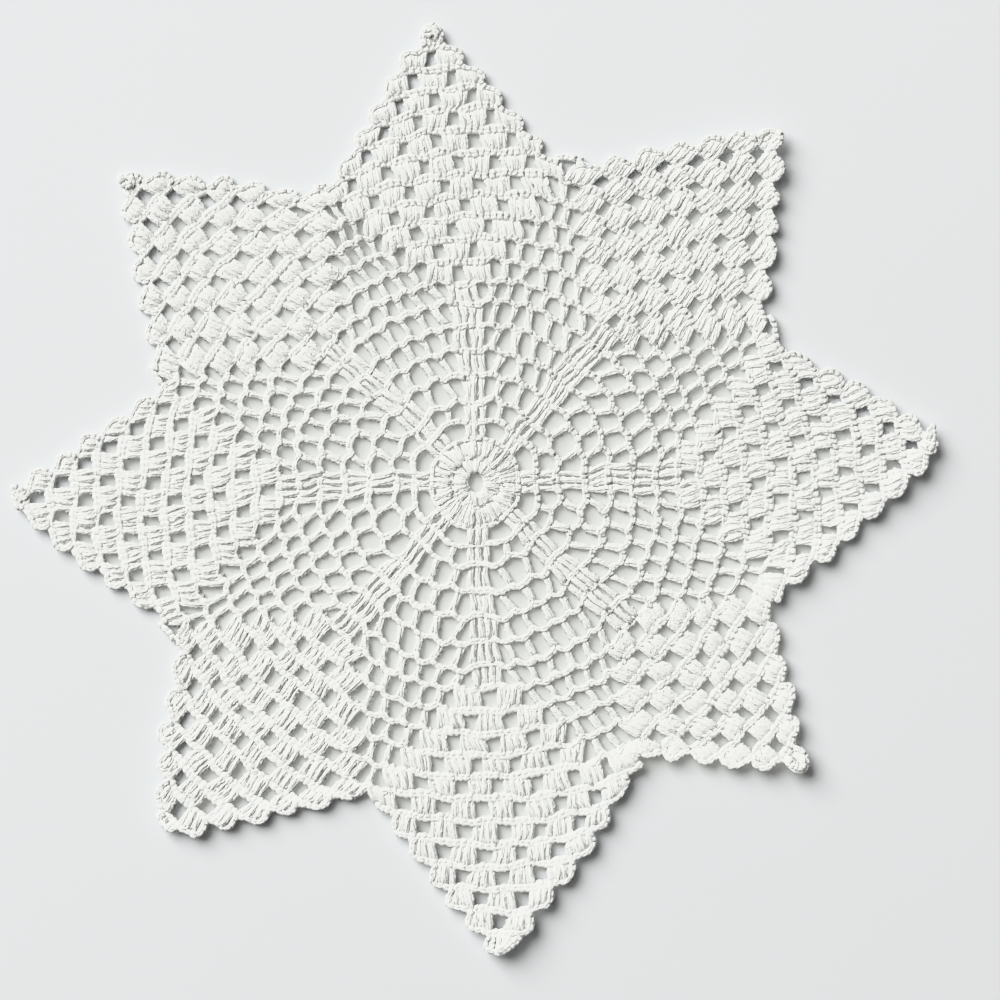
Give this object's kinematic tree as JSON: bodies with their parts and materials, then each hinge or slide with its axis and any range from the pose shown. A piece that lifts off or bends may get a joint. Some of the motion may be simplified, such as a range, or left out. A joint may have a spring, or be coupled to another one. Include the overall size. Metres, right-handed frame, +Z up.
{
  "type": "lace doily",
  "caption": "Flat star-shaped crocheted lace doily for a table: pointed checkerboard lobes with scalloped edges round an open net and a close round centre.",
  "frame": {"origin": "middle of the outline's box in plan, on the plane of the table it lies on", "axes": "+Z up out of the table, +Y towards the point shown at the top, +X towards the point shown at the right"},
  "size_m": [0.2954, 0.2968, 0.0058],
  "materials": {
    "cotton_thread": "matte white mercerised cotton thread"
  },
  "bodies": {
    "root": {"doily": "cotton_thread"}
  },
  "joints": []
}
